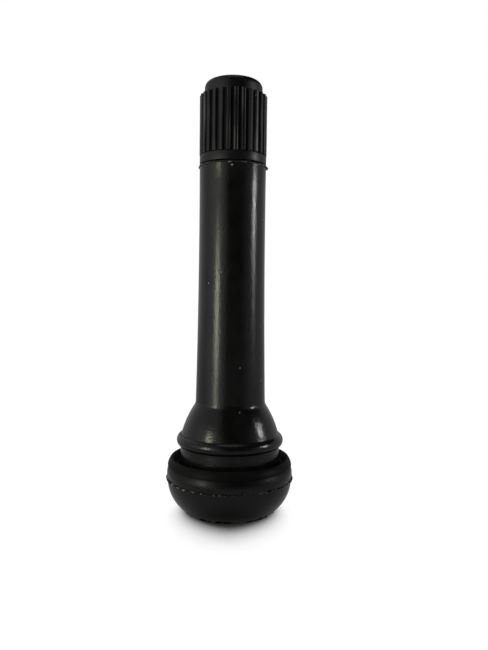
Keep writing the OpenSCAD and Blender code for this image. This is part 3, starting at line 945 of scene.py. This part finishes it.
cap_mesh = turned(cap_outline(), RIB_COUNT * RIB_STEPS, closed=False)
shape_cap(cap_mesh)
finish(cap_mesh, "ribbed_cap", "cap", plastic, stands_for=["valve_cap"], crease=CAP_CREASE)


# Core plug: a threaded ring with a flattened top that a key grips, and a guide hole for the pin

def plug_outline():
    """The section of the plug, up the thread and the top, and back down the hole and the socket."""
    turns = (PLUG_FLAT_LOW - PLUG_LOW) / PLUG_PITCH
    outline = [(PLUG_BORE_R, PLUG_LOW), (PLUG_R - PLUG_DEPTH, PLUG_LOW)]
    outline += levels(PLUG_R, PLUG_LOW + PLUG_DEPTH / 2, PLUG_FLAT_LOW, round(turns * TURN_LEVELS))
    outline += levels(PLUG_R, PLUG_FLAT_LOW + BOND, PLUG_TOP - PLUG_EDGE, 2)
    return outline + [
        (PLUG_R - PLUG_EDGE, PLUG_TOP),
        (PIN_HOLE_R, PLUG_TOP),
        (PIN_HOLE_R, PLUG_TOP - BRIDGE_T),
        (PLUG_BORE_R, PLUG_TOP - BRIDGE_T),
        (PLUG_BORE_R, SOCKET_TOP),
        (SOCKET_R, SOCKET_TOP),
        (SOCKET_R, PLUG_LOW + SOCKET_LIP),
        (PLUG_BORE_R, PLUG_LOW + SOCKET_LIP),
    ]


def shape_plug(bm):
    """Cuts the thread, and flattens two sides of the top."""
    for vert in bm.verts:
        if vert.co.z > PLUG_FLAT_LOW + BOND / 2:
            vert.co.y = min(PLUG_FLAT_W / 2, max(-PLUG_FLAT_W / 2, vert.co.y))
        elif abs(vert.co.to_2d().length - PLUG_R) < NEAR and vert.co.z < PLUG_FLAT_LOW - BOND:
            sink_thread(vert, PLUG_R, PLUG_DEPTH, PLUG_PITCH)


plug_mesh = turned(plug_outline(), BRASS_STEPS)
shape_plug(plug_mesh)
finish(
    plug_mesh, "threaded_core_plug", "plug", core_brass,
    stands_for=["core_plug"], crease=BRASS_CREASE,
)


# Spring: the CAD's own coil, riding on the core

spring_mesh = bmesh.new()
spring_mesh.from_mesh(frame["nodes"]["core_spring"].data)
bmesh.ops.scale(spring_mesh, vec=(1 / MM, 1 / MM, 1 / MM), verts=spring_mesh.verts)
spring = finish(spring_mesh, "coil_spring", "core", wire, stands_for=["core_spring"])
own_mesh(spring)


# CAD nodes that keep their own mesh

for node, material in {
    "cap_seal": seal_rubber,
    "core_barrel": core_brass,
    "core_gasket": gasket_rubber,
    "core_pin": core_brass,
    "core_cup": core_brass,
    "core_washer": seal_rubber,
}.items():
    mesh = frame["nodes"][node].data
    mesh.materials.clear()
    mesh.materials.append(material)


# Stage: a white floor with a painted shadow, and a room that is bright all round but dark in front

def floor_strength(tree, glow_with_painted_shadow):
    """The floor's own light, with the painted shadow in it: full where it is seen, a share where it is
    mirrored or seen through glass.
    """
    path = add(tree, "LightPath").outputs
    seen = product(tree, glow_with_painted_shadow, path["Is Camera Ray"])
    mirrored = largest(tree, path["Is Glossy Ray"], path["Is Transmission Ray"])
    share = spread(tree, glow_with_painted_shadow, 0.0, 1.0, *FLOOR_MIRRORED)
    return largest(tree, seen, product(tree, mirrored, share))


def floor_with_painted_shadow():
    """White paper that glows where ambient occlusion finds it open up and back, so that a painted shadow
    falls forward.
    """
    material = bpy.data.materials.new("white_floor_painted_shadow")
    material.use_nodes = True
    tree = material.node_tree
    tree.nodes.clear()
    sides = []
    for x, y, z in FLOOR_WAYS:
        way = add(tree, "CombineXYZ", X=x, Y=y, Z=z).outputs["Vector"]
        reach = FLOOR_PAINTED_SHADOW * MM
        occlusion = add(tree, "AmbientOcclusion", {"Normal": way}, samples=FLOOR_SAMPLES, Distance=reach)
        sides.append(occlusion.outputs["AO"])
    # The floor's shadow is painted: its light falls with ambient occlusion, not with the lamps
    glow_with_painted_shadow = spread(tree, largest(tree, *sides), *FLOOR_OPEN, smooth=True)
    strength = floor_strength(tree, glow_with_painted_shadow)
    paper = add(tree, "BsdfDiffuse", Color=FLOOR_PAPER).outputs["BSDF"]
    lift = add(tree, "Emission", {"Strength": strength}).outputs["Emission"]
    both = add(tree, "AddShader", {0: paper, 1: lift})
    add(tree, "OutputMaterial", {"Surface": both.outputs["Shader"]})
    return material


def make_floor():
    """A round floor that reaches far back and ends just below the picture."""
    bm = bmesh.new()
    bmesh.ops.create_circle(bm, cap_ends=True, segments=FLOOR_STEPS, radius=FLOOR_R * MM)
    mesh = bpy.data.meshes.new("floor")
    bm.to_mesh(mesh)
    bm.free()
    mesh.materials.append(floor_with_painted_shadow())
    floor = bpy.data.objects.new("floor", mesh)
    floor.location = (0, (FLOOR_R - FLOOR_FRONT) * MM, -FLOOR_DROP * MM)
    bpy.context.scene.collection.objects.link(floor)


def make_world():
    """The room's light by direction. The camera itself sees plain white."""
    world = bpy.data.worlds.new("studio")
    bpy.context.scene.world = world
    world.use_nodes = True
    tree = world.node_tree
    tree.nodes.clear()
    way = add(tree, "TexCoord").outputs["Generated"]
    x, y, z = add(tree, "SeparateXYZ", {"Vector": way}).outputs
    left_strength = spread(tree, y, *LEFT_Y, LEFT_WALL, LEFT_WALL_FAR)
    left = product(tree, spread(tree, x, *LEFT_X), left_strength)
    right = spread(tree, x, *RIGHT_X, 0.0, RIGHT_WALL)
    back_share = spread(tree, x, *BACK_X, BACK_LEFT_SHARE, 1.0)
    back = product(tree, spread(tree, y, *BACK_Y, 0.0, BACK_WALL), back_share)
    walls = product(tree, largest(tree, left, right, back), spread(tree, z, *WALL_TOP_Z))
    table = spread(tree, z, *TABLE_Z, 0.0, TABLE)
    zenith = spread(tree, z, *ZENITH_Z, 0.0, ZENITH)
    high_strength = spread(tree, z, *LEFT_HIGH_Z, 0.0, LEFT_HIGH)
    high = product(tree, spread(tree, x, *LEFT_HIGH_X), high_strength)
    room = math_node(tree, "ADD", largest(tree, walls, table, zenith, high), ROOM_DARK)
    seen = add(tree, "LightPath").outputs["Is Camera Ray"]
    light = add(tree, "Background", {"Strength": largest(tree, room, seen)}, Color=(*WHITE, 1.0))
    add(tree, "OutputWorld", {"Surface": light.outputs["Background"]})


def lamp(name, azimuth, reach, low, high, width, power, colour):
    """An upright soft lamp that faces the valve's axis."""
    angle = math.radians(azimuth)
    spot = Vector((math.sin(angle) * reach, -math.cos(angle) * reach, (low + high) / 2)) * MM
    data = bpy.data.lights.new(name, "AREA")
    data.shape = "RECTANGLE"
    data.size = width * MM
    data.size_y = (high - low) * MM
    data.energy = power
    data.color = colour
    light = bpy.data.objects.new(name, data)
    light.location = spot
    facing = Vector((-spot.x, -spot.y, 0))
    light.rotation_euler = facing.to_track_quat("-Z", "Y").to_euler()
    light.visible_camera = False
    bpy.context.scene.collection.objects.link(light)


def make_camera():
    """The camera, fitted to the photograph's silhouette."""
    data = bpy.data.cameras.new("camera")
    data.sensor_width = SENSOR_W
    data.lens = SENSOR_W * FOCAL_PIXELS / IMAGE_LONG_SIDE
    data.clip_start = CLIP_START
    camera = bpy.data.objects.new("camera", data)
    tilt = Matrix.Rotation(math.radians(90) - CAMERA_DOWN, 4, "X")
    roll = Matrix.Rotation(CAMERA_ROLL, 4, "Z")
    camera.matrix_world = Matrix.Translation(CAMERA_AT) @ tilt @ roll
    bpy.context.scene.collection.objects.link(camera)
    return camera


make_floor()
make_world()
for name, settings in LAMPS.items():
    lamp(name, *settings)
bpy.context.scene.camera = make_camera()
bpy.context.scene.view_settings.view_transform = "Standard"
